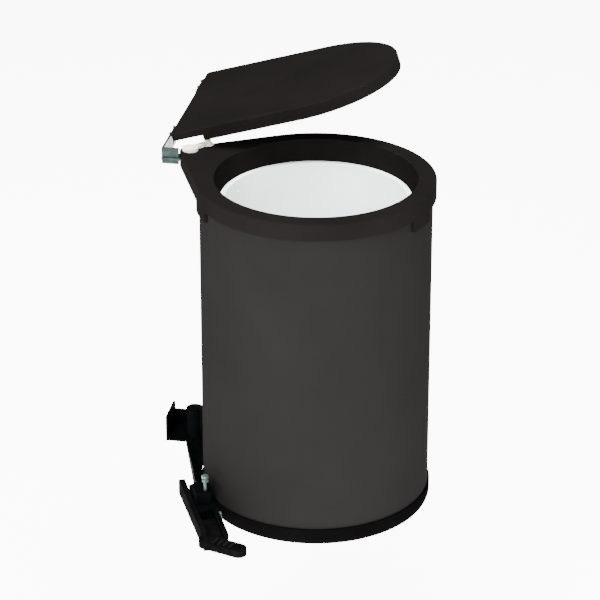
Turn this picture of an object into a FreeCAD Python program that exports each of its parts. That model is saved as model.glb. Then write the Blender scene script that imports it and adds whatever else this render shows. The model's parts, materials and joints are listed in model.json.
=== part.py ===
"""Swing-out pedal bin for a kitchen cabinet, with every size in one sheet.

Frame: X=0 is the cabinet's side wall and +X points away from it, +Y points to the back of the
cabinet, +Z is up. The origin is the centre of the screw hole in the lower wall bracket.
Lengths in mm, angles in degrees.
Heights in the sheet are above the underside of the bin, which hangs mount_height below the origin.
"""

import FreeCAD
import Part
import Sketcher

import os
import re

os.makedirs("parts", exist_ok=True)

DIMENSIONS = [
    # overall sizes and placing
    ("casing_radius", 130.0, "outer radius of the steel casing"),
    ("bin_height", 395.0, "underside of the base cup to the top of the collar"),
    ("mount_height", 46.0, "lower screw hole above the bin's underside"),
    ("pivot_from_wall", 32.0, "vertical swing axis to the wall"),
    ("pivot_radius", "=casing_radius + 33", "swing axis to the bin's own axis"),
    ("rest_angle", -19.2, "bin's direction from the swing axis when swung out"),
    ("closed_angle", 42.0, "bin's direction from the swing axis under the lid"),
    ("running_gap", 0.05, "radial clearance of a pin in its bush"),
    ("free_gap", 0.4, "clearance between pieces that pass each other"),
    # casing and base cup
    ("casing_wall", 1.0, "steel sheet"),
    ("base_height", 22.0, "height of the base cup"),
    ("base_wall", 2.1, "wall of the base cup outside the casing"),
    ("base_floor", 3.0, "floor of the base cup"),
    ("base_foot", 4.0, "height of the foot rim under the floor"),
    ("foot_width", 14.0, "radial width of the foot rim"),
    ("base_round", 11.0, "rounding at the bottom edge"),
    # collar
    ("collar_radius", "=casing_radius + 4", "outer radius of the collar"),
    ("collar_height", 19.0, "height of the collar's skirt"),
    ("collar_top", 3.0, "thickness of the collar's top"),
    ("collar_edge", 1.2, "rounding of the collar's top edge"),
    ("ear_radius", 12.0, "radius of the ear round the swing axis"),
    ("funnel_top", "=casing_radius - 16.5", "funnel radius at the top"),
    ("funnel_bottom", "=casing_radius - 21.5", "funnel radius at the bucket's rim"),
    ("funnel_depth", 24.0, "funnel height"),
    ("funnel_wall", 2.5, "funnel wall"),
    ("ledge_radius", "=casing_radius - 24.2", "opening of the ledge that carries the bucket"),
    ("ledge_thick", 2.5, "ledge thickness"),
    ("tab_drop", 13.0, "how far the three clips reach below the skirt"),
    ("tab_half", 8.0, "half the angle that a clip spans"),
    ("tab_angle", 134.6, "angle of the side clips from the front one"),
    ("slot_height", 3.3, "slot in the ear for the bracket's tongue"),
    ("slot_radius", 16.0, "radius of that slot round the swing axis"),
    ("tongue_level", "=bin_height - 11", "underside of the bracket's tongue"),
    # bucket
    ("bucket_rim", "=funnel_bottom - 0.9", "outer radius of the bucket's rim"),
    ("bucket_top", "=ledge_radius - 2.8", "outer radius under the rim"),
    ("bucket_bottom", "=bucket_top - 10", "outer radius at the bottom"),
    ("bucket_wall", 1.6, "bucket wall"),
    ("bucket_rim_thick", 3.2, "height of the rim"),
    ("bucket_lift_gap", 3.0, "bucket's underside above the floor of the cup"),
    ("bail_wire", 0.9, "radius of the bail's wire"),
    ("bail_drop", 14.0, "bail below the rim"),
    # swing pins and bushes
    ("pin_radius", 4.0, "both swing pins"),
    ("bush_radius", 6.0, "outer radius of the nylon bushes"),
    # upper bracket
    ("bracket_sheet", 2.5, "sheet of the brackets"),
    ("upper_low", "=bin_height - 16", "bottom of the upper wall bracket"),
    ("upper_high", "=bin_height + 3", "top of the upper wall bracket"),
    ("upper_front", -6.0, "front end of the upper wall bracket"),
    ("upper_back", 58.0, "back end of the upper wall bracket"),
    ("screw_hole", 2.75, "radius of the wall screw holes"),
    ("screw_front", 12.0, "front screw of the upper bracket"),
    ("screw_pitch", 32.0, "screw spacing of the upper brackets"),
    # lid hinge
    ("lid_axis_out", 17.0, "lid hinge axis from the wall"),
    ("lid_axis_up", "=bin_height + 6", "lid hinge axis above the underside"),
    ("hinge_pin", 2.0, "radius of the lid's hinge pins"),
    ("hinge_lug", 4.5, "radius of the lugs round the hinge pin"),
    ("near_lug", 33.0, "first lug of the near hinge"),
    ("lug_pitch", 20.0, "lug to lug"),
    # lid
    ("lid_open", 16.2, "lid opening when the bin is swung out"),
    ("lid_radius", "=casing_radius - 27", "round end of the lid"),
    ("lid_lead_out", 6.5, "lid's round end beyond the closed bin's axis, away from the wall"),
    ("lid_near", 9.1, "lid's near side behind the swing axis"),
    ("lid_behind", 8.0, "lid behind its hinge axis"),
    ("lid_above", 10.0, "lid's top above its hinge axis"),
    ("lid_below", 5.0, "lid's skirt below its hinge axis"),
    ("lid_wall", 2.5, "skirt of the lid"),
    ("lid_plate", 2.0, "top plate of the lid"),
    ("far_lug", "=lid_near + 2 * lid_radius - 29.1", "first lug of the far hinge"),
    ("stiffener_pitch", "=lid_radius * 0.55", "spacing of the ribs under the lid"),
    ("lid_corner", 5.0, "plan radius of the back corners"),
    ("lid_edge", 1.2, "rounding of the lid's top edge"),
    ("lid_notch", 29.0, "end of the notch that lets the cam through"),
    # cam finger on the ear and its follower under the lid
    ("cam_angle", 71.0, "cam finger's direction from the bin's axis line"),
    ("cam_reach", 26.0, "swing axis to the tip of the finger"),
    ("cam_thick", 3.4, "thickness of the finger"),
    ("cam_tip", 3.5, "radius of the raised tip"),
    ("cam_tip_height", 10.0, "height of the raised tip"),
    ("cam_hub", 9.0, "radius of the hub"),
    ("follower_out", 32.6, "follower rib from the hinge axis"),
    ("follower_thick", 5.0, "thickness of the rib"),
    # lower bracket and the bin's lower hinge arm
    ("shelf_level", 31.5, "top of the lower bracket's shelf"),
    ("lower_front", -15.0, "front end of the lower bracket"),
    ("lower_back", 27.0, "back end of the lower bracket"),
    ("lower_high", 60.5, "top of the lower bracket"),
    ("lower_screw", 11.0, "lower screw hole behind the swing axis"),
    ("knuckle_radius", 10.0, "knuckle of the lower hinge arm"),
    ("knuckle_high", 68.0, "top of that knuckle"),
    ("arm_half", 4.0, "half the thickness of the hinge arm"),
    ("saddle_half", 14.0, "half the angle of the saddle on the casing"),
    ("saddle_thick", 2.5, "saddle sheet"),
    ("saddle_low", 32.0, "bottom of the saddle"),
    ("saddle_high", 92.0, "top of the saddle"),
    # pedal carrier, lever and release rod
    ("carrier_yaw", -72.2, "direction of the carrier arm"),
    ("carrier_length", 124.7, "length of the carrier arm"),
    ("carrier_start", "=pivot_from_wall - 7.5", "start of the carrier arm, from the wall"),
    ("carrier_thick", 4.0, "thickness of the carrier arm"),
    ("flange_reach", 134.0, "length of the carrier's top flange"),
    ("flange_lead", 12.0, "flange behind the start of the arm"),
    ("flange_width", 26.0, "width of that flange before it is cut back"),
    ("casing_gap", 1.2, "gap between that flange and the casing"),
    ("pedal_x", 78.6, "pedal frame from the wall"),
    ("pedal_y", -155.3, "pedal frame in front of the swing axis"),
    ("pedal_up", 8.4, "pedal frame above the bin's underside"),
    ("pedal_yaw", -66.4, "direction of the pedal"),
    ("bolt_ahead", 10.0, "pedal bolt ahead of the pedal frame"),
    ("bolt_up", 8.0, "pedal bolt above the pedal frame"),
    ("bolt_radius", 3.0, "pedal bolt"),
    ("block_back", -40.0, "back end of the pedal block"),
    ("block_front", 16.0, "front end of the pedal block"),
    ("block_left", -12.5, "left side of the pedal block"),
    ("block_right", 5.0, "right side of the pedal block"),
    ("block_low", 6.8, "underside of the pedal block"),
    ("block_high", 34.0, "top of the pedal block"),
    ("plank_back", -66.0, "back end of the lever's plank"),
    ("plank_front", 78.0, "front end of the lever's plank"),
    ("plank_wall", 6.5, "thickness of the plank"),
    ("plank_high", 20.0, "height of the plank"),
    ("rib_wall", 6.0, "thickness of the lever's inner rib"),
    ("rib_high", 14.0, "height of the inner rib"),
    ("toe_angle", 48.0, "toe's turn from the lever"),
    ("toe_reach", 41.0, "length of the toe to its round end"),
    ("toe_half", 9.0, "half the width of the toe"),
    ("toe_low", 3.5, "underside of the toe above the lever's"),
    ("toe_high", 12.0, "top of the toe above the lever's underside"),
    ("rod_back", -5.0, "release rod from the pedal frame, along the pedal"),
    ("rod_side", -0.5, "release rod from the pedal frame, across the pedal"),
    ("rod_radius", 1.8, "release rod"),
    ("rod_high", 54.0, "top of the release rod"),
    ("nut_width", 7.0, "nuts across the flats"),
    ("nut_height", 3.6, "height of one nut"),
    ("spring_radius", 3.3, "return spring, to the middle of its wire"),
    ("spring_wire", 0.6, "radius of the spring's wire"),
    ("chamber_radius", 4.5, "spring chamber in the pedal block"),
    ("chamber_low", 10.0, "bottom of the spring chamber"),
    ("chamber_high", 30.0, "top of the spring chamber"),
]
ALIASES = {alias for alias, _, _ in DIMENSIONS}

doc = FreeCAD.newDocument("swing_pedal_bin")
sheet = doc.addObject("Spreadsheet::Sheet", "dims")
for row, (alias, value, note) in enumerate(DIMENSIONS, 1):
    sheet.set(f"A{row}", alias)
    sheet.set(f"B{row}", str(value))
    sheet.setAlias(f"B{row}", alias)
    sheet.set(f"C{row}", note)
doc.recompute()

NODES = {}
WALL = {"base": ("0", "-lower_screw", "-mount_height"), "axis": (0, 0, 1), "turn": "0"}
BIN = {
    "base": (
        "pivot_from_wall + pivot_radius * cos(rest_angle)",
        "pivot_radius * sin(rest_angle) - lower_screw",
        "-mount_height",
    ),
    "axis": (0, 0, 1),
    "turn": "rest_angle",
}
LID = {
    "base": ("lid_axis_out", "-lower_screw", "lid_axis_up - mount_height"),
    "axis": (0, 1, 0),
    "turn": "-lid_open",
}
PEDAL = {
    "base": ("pedal_x", "pedal_y - lower_screw", "pedal_up - mount_height"),
    "axis": (0, 0, 1),
    "turn": "pedal_yaw",
}


def formula(text):
    """The text as an expression, with each size read from the sheet."""
    return re.sub(
        r"[a-z][a-z_]*",
        lambda m: "dims." + m.group(0) if m.group(0) in ALIASES else m.group(0),
        str(text),
    )


def value_of(text):
    """The formula's present value as a number."""
    return float(sheet.evalExpression(formula(text)))


def bind(target, path, text):
    target.setExpression(path, formula(text))


def finish(node, item, frame):
    """Names the piece, puts it in its frame and lists it for export."""
    item.Label = node
    item.Placement = FreeCAD.Placement(
        FreeCAD.Vector(), FreeCAD.Rotation(FreeCAD.Vector(*frame["axis"]), 1)
    )
    for axis, text in zip("xyz", frame["base"]):
        bind(item, f"Placement.Base.{axis}", text)
    bind(item, "Placement.Rotation.Angle", frame["turn"])
    NODES[node] = item


# ---------------------------------------------------------------- primitives


def spot(item, x, y, z):
    for axis, text in zip("xyz", (x, y, z)):
        bind(item, f"Placement.Base.{axis}", text)
    return item


def box(x, y, z, length, width, height, yaw=None):
    item = doc.addObject("Part::Box", "block")
    bind(item, "Length", length)
    bind(item, "Width", width)
    bind(item, "Height", height)
    if yaw is not None:
        item.Placement = FreeCAD.Placement(
            FreeCAD.Vector(), FreeCAD.Rotation(FreeCAD.Vector(0, 0, 1), 1)
        )
        bind(item, "Placement.Rotation.Angle", yaw)
    return spot(item, x, y, z)


def rod(x, y, z, radius, height, along="z"):
    """A cylinder that starts at x, y, z and runs along z, +y or +x."""
    item = doc.addObject("Part::Cylinder", "rod")
    bind(item, "Radius", radius)
    bind(item, "Height", height)
    turns = {"z": ((0, 0, 1), 0), "y": ((1, 0, 0), -90), "x": ((0, 1, 0), 90)}
    axis, angle = turns[along]
    item.Placement = FreeCAD.Placement(
        FreeCAD.Vector(), FreeCAD.Rotation(FreeCAD.Vector(*axis), angle)
    )
    return spot(item, x, y, z)


def nut(x, y, z, width, height):
    """A hexagonal prism by its width across the flats."""
    item = doc.addObject("Part::Prism", "hexagon")
    item.Polygon = 6
    bind(item, "Circumradius", f"({width}) / 2 / cos(30)")
    bind(item, "Height", height)
    return spot(item, x, y, z)


def fuse(*items):
    whole = doc.addObject("Part::MultiFuse", "joined")
    whole.Shapes = list(items)
    whole.Refine = True
    return whole


def cut(base, *tools):
    tool = tools[0] if len(tools) == 1 else fuse(*tools)
    rest = doc.addObject("Part::Cut", "cut")
    rest.Base = base
    rest.Tool = tool
    rest.Refine = True
    return rest


def group(*items):
    """Separate solids that share one node."""
    both = doc.addObject("Part::Compound", "group")
    both.Links = list(items)
    return both


# ------------------------------------------------------------ design bodies


def new_body(name):
    return doc.addObject("PartDesign::Body", name)


def sketch(body, plane, corners, lift="0"):
    """A closed outline of (x, y) corners, or (x, y, radius, ccw) where an arc leads on."""
    outline = body.newObject("Sketcher::SketchObject", "outline")
    origin = [f for f in body.Origin.OriginFeatures if f.Role == plane][0]
    outline.AttachmentSupport = [(origin, "")]
    outline.MapMode = "FlatFace"
    bind(outline, "AttachmentOffset.Base.z", lift)
    at = [
        FreeCAD.Vector(value_of(c[0]), value_of(c[1]), 0) for c in corners
    ]
    count = len(corners)
    for i, corner in enumerate(corners):
        start, end = at[i], at[(i + 1) % count]
        if len(corner) == 2:
            outline.addGeometry(Part.LineSegment(start, end), False)
        else:
            outline.addGeometry(arc_between(start, end, value_of(corner[2]), corner[3]))
    ends = []
    for i, corner in enumerate(corners):
        ccw = len(corner) == 2 or corner[3]
        ends.append((1, 2) if ccw else (2, 1))
    for i in range(count):
        j = (i + 1) % count
        outline.addConstraint(
            Sketcher.Constraint("Coincident", i, ends[i][1], j, ends[j][0])
        )
    for i, corner in enumerate(corners):
        for kind, text in (("DistanceX", corner[0]), ("DistanceY", corner[1])):
            spot_value = at[i].x if kind == "DistanceX" else at[i].y
            number = outline.addConstraint(
                Sketcher.Constraint(kind, i, ends[i][0], spot_value)
            )
            bind(outline, f"Constraints[{number}]", text)
        if len(corner) > 2:
            number = outline.addConstraint(
                Sketcher.Constraint("Radius", i, value_of(corner[2]))
            )
            bind(outline, f"Constraints[{number}]", corner[2])
    return outline


def arc_between(start, end, radius, ccw):
    """The shorter arc of that radius from start to end."""
    middle = (start + end) * 0.5
    chord = end - start
    half = chord.Length / 2
    side = FreeCAD.Vector(-chord.y, chord.x, 0).normalize()
    rise = max(radius**2 - half**2, 0) ** 0.5
    centre = middle + side * (rise if ccw else -rise)
    bulge = middle - centre
    if bulge.Length < 1e-6:
        bulge = side * (-1 if ccw else 1)
    top = centre + bulge.normalize() * radius
    return Part.Arc(start, top, end)


def ring_sketch(body, plane, x, y, radius, lift="0"):
    """A circle as an outline."""
    outline = body.newObject("Sketcher::SketchObject", "circle")
    origin = [f for f in body.Origin.OriginFeatures if f.Role == plane][0]
    outline.AttachmentSupport = [(origin, "")]
    outline.MapMode = "FlatFace"
    bind(outline, "AttachmentOffset.Base.z", lift)
    centre = FreeCAD.Vector(value_of(x), value_of(y), 0)
    outline.addGeometry(
        Part.Circle(centre, FreeCAD.Vector(0, 0, 1), value_of(radius)), False
    )
    for kind, text, spot_value in (
        ("DistanceX", x, centre.x),
        ("DistanceY", y, centre.y),
    ):
        number = outline.addConstraint(Sketcher.Constraint(kind, 0, 3, spot_value))
        bind(outline, f"Constraints[{number}]", text)
    number = outline.addConstraint(Sketcher.Constraint("Radius", 0, value_of(radius)))
    bind(outline, f"Constraints[{number}]", radius)
    return outline


def turned(body, kind, corners):
    """Revolution or Groove of an XZ outline about Z."""
    outline = sketch(body, "XZ_Plane", corners)
    feature = body.newObject(f"PartDesign::{kind}", kind.lower())
    feature.Profile = outline
    feature.ReferenceAxis = (outline, ["V_Axis"])
    feature.Angle = 360
    body.Tip = feature
    doc.recompute()
    return feature


def pad(body, outline, height):
    feature = body.newObject("PartDesign::Pad", "pad")
    feature.Profile = outline
    bind(feature, "Length", height)
    body.Tip = feature
    doc.recompute()
    return feature


def pocket(body, outline, depth, upward=True):
    """Removes material from the outline's plane, upward along Z or downward."""
    before = body.Shape.Volume
    feature = body.newObject("PartDesign::Pocket", "pocket")
    feature.Profile = outline
    bind(feature, "Length", depth)
    feature.Reversed = upward
    body.Tip = feature
    doc.recompute()
    if not body.Shape.Volume < before - 1e-3:
        raise RuntimeError(f"{body.Name}: a pocket cut nothing")
    return feature


def round_edges(body, radius, wanted):
    """Rounds the edges of the body's tip that the test accepts."""
    base = body.Tip
    names = [f"Edge{i}" for i, e in enumerate(base.Shape.Edges, 1) if wanted(e)]
    if not names:
        raise RuntimeError(f"{body.Name}: no edge to round")
    feature = body.newObject("PartDesign::Fillet", "rounding")
    feature.Base = (base, names)
    bind(feature, "Radius", radius)
    body.Tip = feature
    doc.recompute()
    return feature


def flat_at(edge, height):
    """True for an edge that lies at that height."""
    box_of = edge.BoundBox
    return abs(box_of.ZMin - height) < 1e-3 and abs(box_of.ZMax - height) < 1e-3


# ------------------------------------------------------------------- the bin


def hull_outline(radius, ear):
    """Corners of the collar's plan: a big circle, an ear circle and their two tangents."""
    lean = "((collar_radius - ear_radius) / pivot_radius)"
    rise = f"sqrt(1 - {lean} * {lean})"
    near = (f"-({ear}) * {lean} - pivot_radius", f"({ear}) * {rise}")
    big = (f"-({radius}) * {lean}", f"({radius}) * {rise}")
    return [
        (near[0], near[1], ear, True),
        (f"-pivot_radius - ({ear})", "0", ear, True),
        (near[0], f"-({near[1]})"),
        (big[0], f"-({big[1]})", radius, True),
        (f"{radius}", "0", radius, True),
        (big[0], big[1]),
    ]


def make_casing(rivet_holes):
    body = new_body("tube")
    turned(
        body,
        "Revolution",
        [
            ("casing_radius - casing_wall", "base_foot + base_floor"),
            ("casing_radius", "base_foot + base_floor"),
            ("casing_radius", "bin_height - collar_top"),
            ("casing_radius - casing_wall", "bin_height - collar_top"),
        ],
    )
    finish("outer_casing", cut(body, *rivet_holes), BIN)


def make_base():
    body = new_body("base")
    outer = "casing_radius + running_gap + base_wall"
    turned(
        body,
        "Revolution",
        [
            ("0", "base_foot"),
            (f"{outer} - base_round - foot_width", "base_foot"),
            (f"{outer} - base_round - foot_width", "0"),
            (f"{outer} - base_round", "0", "base_round", True),
            (outer, "base_round"),
            (outer, "base_height - 1"),
            (f"{outer} - 1", "base_height"),
            ("casing_radius + running_gap", "base_height"),
            ("casing_radius + running_gap", "base_foot + base_floor"),
            ("0", "base_foot + base_floor"),
        ],
    )
    finish("base_cup", body, BIN)


def make_collar():
    body = new_body("collar")
    top = value_of("bin_height")
    pad(
        body,
        sketch(
            body,
            "XY_Plane",
            hull_outline("collar_radius", "ear_radius"),
            "bin_height - collar_height",
        ),
        "collar_height",
    )
    round_edges(body, "collar_edge", lambda e: flat_at(e, top))
    pocket(
        body,
        ring_sketch(
            body,
            "XY_Plane",
            "0",
            "0",
            "casing_radius + free_gap",
            "bin_height - collar_height",
        ),
        "collar_height - collar_top",
    )
    hollow = "pivot_radius - ear_radius - funnel_wall"
    pocket(
        body,
        sketch(
            body,
            "XY_Plane",
            [
                (f"-({hollow})", "-27"),
                ("-casing_radius - 6", "-38"),
                ("-casing_radius - 6", "38"),
                (f"-({hollow})", "27"),
            ],
            "bin_height - collar_height",
        ),
        "collar_height - collar_top - 5",
    )
    turned(
        body,
        "Groove",
        [
            ("0", "bin_height - funnel_depth"),
            ("funnel_bottom", "bin_height - funnel_depth"),
            ("funnel_top", "bin_height"),
            ("funnel_top", "bin_height + 1"),
            ("0", "bin_height + 1"),
        ],
    )
    seat = "bin_height - funnel_depth - bucket_rim_thick - 0.1"
    turned(
        body,
        "Revolution",
        [
            ("funnel_top", "bin_height"),
            ("funnel_bottom", "bin_height - funnel_depth"),
            ("funnel_bottom", seat),
            ("ledge_radius", seat),
            ("ledge_radius", f"{seat} - ledge_thick"),
            ("funnel_bottom + funnel_wall", f"{seat} - ledge_thick"),
            ("funnel_bottom + funnel_wall", "bin_height - funnel_depth"),
            ("funnel_top + funnel_wall", "bin_height - collar_top / 2"),
            ("funnel_top + funnel_wall", "bin_height - 0.01"),
        ],
    )
    for angle in ("0", "tab_angle", "-tab_angle"):
        inner, outer = "(casing_radius + free_gap)", "collar_radius"
        low, high = f"({angle} - tab_half)", f"({angle} + tab_half)"
        clip = sketch(
            body,
            "XY_Plane",
            [
                (f"{outer} * cos{low}", f"{outer} * sin{low}", outer, True),
                (f"{outer} * cos{high}", f"{outer} * sin{high}"),
                (f"{inner} * cos{high}", f"{inner} * sin{high}", inner, False),
                (f"{inner} * cos{low}", f"{inner} * sin{low}"),
            ],
            "bin_height - collar_height - tab_drop",
        )
        pad(body, clip, "tab_drop")
    pocket(
        body,
        ring_sketch(
            body,
            "XY_Plane",
            "-pivot_radius",
            "0",
            "bush_radius",
            "bin_height - collar_height",
        ),
        "collar_height + 1",
    )
    pocket(
        body,
        ring_sketch(
            body,
            "XY_Plane",
            "-pivot_radius",
            "0",
            "slot_radius",
            "tongue_level - (slot_height - bracket_sheet) / 2",
        ),
        "slot_height",
    )
    finish("collar", body, BIN)


def make_bucket():
    body = new_body("bucket")
    low = "base_foot + base_floor + bucket_lift_gap"
    top = "bin_height - funnel_depth"
    under = f"{top} - bucket_rim_thick"
    turned(
        body,
        "Revolution",
        [
            ("0", f"{low} + 2"),
            ("bucket_bottom - 12", f"{low} + 2"),
            ("bucket_bottom - 12", low),
            ("bucket_bottom - 4", low, "4", True),
            ("bucket_bottom", f"{low} + 4"),
            ("bucket_top", under),
            ("bucket_rim", under),
            ("bucket_rim", f"{top} - 1.2", "1.2", True),
            ("bucket_rim - 1.2", top),
            ("bucket_top - bucket_wall", top),
            ("bucket_bottom - bucket_wall", f"{low} + 5.6"),
            ("bucket_bottom - bucket_wall - 3", f"{low} + 4"),
            ("0", f"{low} + 4"),
        ],
    )
    for side in ("0", "-bucket_rim"):
        hole = ring_sketch(
            body, "YZ_Plane", "0", f"{top} - bail_drop", "bail_wire + 0.1", side
        )
        pocket(body, hole, "bucket_rim", upward=True)
    finish("inner_bucket", body, BIN)


def make_bail():
    """Half a ring of wire under the bucket's rim, with its two ends turned in through the wall."""
    level = "bin_height - funnel_depth - bail_drop"
    hoop = doc.addObject("Part::Torus", "hoop")
    radius = "bucket_top + bail_wire + 0.3"
    bind(hoop, "Radius1", radius)
    bind(hoop, "Radius2", "bail_wire")
    hoop.Angle3 = 180
    spot(hoop, "0", "0", level)
    inset = "bucket_wall + 3.5"
    right = rod(f"{radius} - ({inset})", "0", level, "bail_wire", inset, "x")
    left = rod(f"-({radius})", "0", level, "bail_wire", inset, "x")
    finish("bucket_bail", fuse(hoop, right, left), BIN)


def make_cam():
    """Nylon finger that lies on the ear and lifts the lid."""
    tip = ("cam_reach * cos(cam_angle) - pivot_radius", "cam_reach * sin(cam_angle)")
    arm = box(
        "-pivot_radius + cam_tip * sin(cam_angle)",
        "-cam_tip * cos(cam_angle)",
        "bin_height",
        "cam_reach",
        "2 * cam_tip",
        "cam_thick",
        "cam_angle",
    )
    hub = rod("-pivot_radius", "0", "bin_height", "cam_hub", "cam_thick")
    post = rod(tip[0], tip[1], "bin_height", "cam_tip", "cam_tip_height")
    ramp = doc.addObject("Part::Cone", "ramp")
    bind(ramp, "Radius1", "cam_tip + 3.5")
    bind(ramp, "Radius2", "cam_tip")
    bind(ramp, "Height", "cam_thick")
    spot(ramp, tip[0], tip[1], "bin_height")
    finish("lid_cam", fuse(arm, hub, post, ramp), BIN)


def make_bushes():
    """Nylon bushes: two in the collar's ear, one in the lower knuckle."""
    low = "bin_height - collar_height"
    slot = "tongue_level - (slot_height - bracket_sheet) / 2"
    bore = "pin_radius + running_gap"
    first = cut(
        rod("-pivot_radius", "0", low, "bush_radius", f"{slot} - ({low})"),
        rod("-pivot_radius", "0", f"{low} - 1", bore, "collar_height + 2"),
    )
    second = cut(
        rod(
            "-pivot_radius",
            "0",
            f"{slot} + slot_height",
            "bush_radius",
            f"bin_height - ({slot}) - slot_height",
        ),
        rod("-pivot_radius", "0", f"{low} - 1", bore, "collar_height + 2"),
    )
    finish("ear_bushes", group(first, second), BIN)
    start = "shelf_level + free_gap"
    third = cut(
        rod("-pivot_radius", "0", start, "bush_radius", f"knuckle_high - ({start})"),
        rod("-pivot_radius", "0", f"{start} - 1", bore, "knuckle_high"),
    )
    finish("knuckle_bush", third, BIN)


def saddle(inner, thick, low, high):
    """A curved plate on the casing's side that faces the swing axis."""
    plate = doc.addObject("Part::Cylinder", "plate")
    bind(plate, "Radius", f"{inner} + {thick}")
    bind(plate, "Height", f"{high} - ({low})")
    bind(plate, "Angle", "2 * saddle_half")
    plate.Placement = FreeCAD.Placement(
        FreeCAD.Vector(), FreeCAD.Rotation(FreeCAD.Vector(0, 0, 1), 1)
    )
    bind(plate, "Placement.Rotation.Angle", "180 - saddle_half")
    spot(plate, "0", "0", low)
    return cut(plate, rod("0", "0", f"{low} - 1", inner, f"{high} - ({low}) + 2"))


def rivet_spots():
    """Direction and height of each rivet that holds the saddle."""
    return [
        (turn, level)
        for turn in ("180 - saddle_half + 4", "180 + saddle_half - 4")
        for level in ("saddle_low + 8", "saddle_high - 8")
    ]


def radial_rod(turn, level, start, end, radius):
    """A rod that points outward from the bin's axis."""
    item = doc.addObject("Part::Cylinder", "radial")
    bind(item, "Radius", radius)
    bind(item, "Height", f"{end} - ({start})")
    item.Placement = FreeCAD.Placement(
        FreeCAD.Vector(),
        FreeCAD.Rotation(FreeCAD.Vector(0, 0, 1), value_of(turn))
        * FreeCAD.Rotation(FreeCAD.Vector(0, 1, 0), 90),
    )
    return spot(
        item, f"({start}) * cos({turn})", f"({start}) * sin({turn})", level
    )


def make_hinge_arm():
    """Saddle, gusset and knuckle that carry the casing on the lower swing pin."""
    start = "shelf_level + free_gap"
    knuckle = rod("-pivot_radius", "0", start, "knuckle_radius", f"knuckle_high - ({start})")
    gusset = new_body("gusset")
    web = sketch(
        gusset,
        "XZ_Plane",
        [
            ("-pivot_radius", start),
            ("-casing_radius - 1", "saddle_low + 2"),
            ("-casing_radius - 1", "saddle_high - 10"),
            ("-pivot_radius", "knuckle_high"),
        ],
        "-arm_half",
    )
    pad(gusset, web, "2 * arm_half")
    plate = saddle("casing_radius", "saddle_thick", "saddle_low", "saddle_high")
    bored = cut(
        fuse(knuckle, gusset, plate),
        rod("-pivot_radius", "0", "0", "bush_radius", "saddle_high + 10"),
        rod("0", "0", "0", "casing_radius", "saddle_high + 10"),
        *[
            radial_rod(turn, level, "casing_radius - 5", "casing_radius + 8", "2")
            for turn, level in rivet_spots()
        ],
    )
    finish("lower_hinge_arm", bored, BIN)
    backing = cut(
        saddle(
            "casing_radius - casing_wall - 1.5", "1.5", "saddle_low", "saddle_high"
        ),
        *[
            radial_rod(turn, level, "casing_radius - 9", "casing_radius", "2")
            for turn, level in rivet_spots()
        ],
    )
    finish("backing_plate", backing, BIN)
    rivets = []
    for turn, level in rivet_spots():
        outside = "casing_radius + saddle_thick"
        inside = "casing_radius - casing_wall - 1.5"
        shank = radial_rod(turn, level, inside, outside, "1.9")
        head = radial_rod(turn, level, f"{outside} + 0.05", f"{outside} + 1.6", "3.4")
        neck = radial_rod(turn, level, outside, f"{outside} + 0.5", "1.9")
        rivets.append(fuse(shank, neck, head))
    finish("saddle_rivets", group(*rivets), BIN)
    return [
        radial_rod(turn, level, "casing_radius - 5", "casing_radius + 5", "2")
        for turn, level in rivet_spots()
    ]


# -------------------------------------------------------- fixed to the cabinet


def hinge_lugs(first):
    """Two lugs that carry a lid hinge pin, joined to the wall plate."""
    lugs = []
    for start in (first, f"{first} + lug_pitch"):
        lugs.append(
            box(
                "0",
                start,
                "upper_high - 1.5",
                "lid_axis_out",
                "bracket_sheet",
                "lid_axis_up - upper_high + 1.5",
            )
        )
        lugs.append(
            rod("lid_axis_out", start, "lid_axis_up", "hinge_lug", "bracket_sheet", "y")
        )
    return lugs


def wall_hole(y, level):
    return rod("-1", y, level, "screw_hole", "bracket_sheet + 2", "x")


def make_upper_bracket():
    height = "upper_high - upper_low"
    wall = box("0", "upper_front", "upper_low", "bracket_sheet", "upper_back - upper_front", height)
    web = box(
        "0",
        "upper_front",
        "upper_low",
        "pivot_from_wall - ear_radius - 0.5",
        "bracket_sheet",
        height,
    )
    tongue = box(
        "0",
        "-pin_radius * 2",
        "tongue_level",
        "pivot_from_wall",
        "pin_radius * 4",
        "bracket_sheet",
    )
    nose = rod("pivot_from_wall", "0", "tongue_level", "pin_radius * 2", "bracket_sheet")
    whole = cut(
        fuse(wall, web, tongue, nose, *hinge_lugs("near_lug")),
        rod("pivot_from_wall", "0", "0", "pin_radius", "bin_height + 20"),
        rod("lid_axis_out", "0", "lid_axis_up", "hinge_pin", "upper_back + 20", "y"),
        wall_hole("screw_front", "(upper_low + upper_high) / 2 - 3"),
        wall_hole("screw_front + screw_pitch", "(upper_low + upper_high) / 2 - 3"),
    )
    finish("upper_wall_bracket", whole, WALL)
    pin = rod(
        "pivot_from_wall",
        "0",
        "bin_height - collar_height + 1",
        "pin_radius",
        "collar_height - 2",
    )
    finish("upper_swing_pin", group(pin), WALL)


def make_far_bracket():
    front = "far_lug - 10"
    span = "screw_pitch + 12"
    wall = box("0", front, "upper_low", "bracket_sheet", span, "upper_high - upper_low")
    whole = cut(
        fuse(wall, *hinge_lugs("far_lug")),
        rod("lid_axis_out", front, "lid_axis_up", "hinge_pin", "60", "y"),
        wall_hole(f"{front} + 6", "(upper_low + upper_high) / 2 - 3"),
        wall_hole(f"{front} + 6 + screw_pitch", "(upper_low + upper_high) / 2 - 3"),
    )
    finish("far_hinge_bracket", whole, WALL)
    for node, first in (("near_hinge_pin", "near_lug"), ("far_hinge_pin", "far_lug")):
        start = f"{first} - 1.5"
        reach = "lug_pitch + bracket_sheet + 3"
        pin = rod("lid_axis_out", start, "lid_axis_up", "hinge_pin", reach, "y")
        head = rod("lid_axis_out", start, "lid_axis_up", "hinge_pin + 1", "1.4", "y")
        finish(node, fuse(pin, head), WALL)


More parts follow.
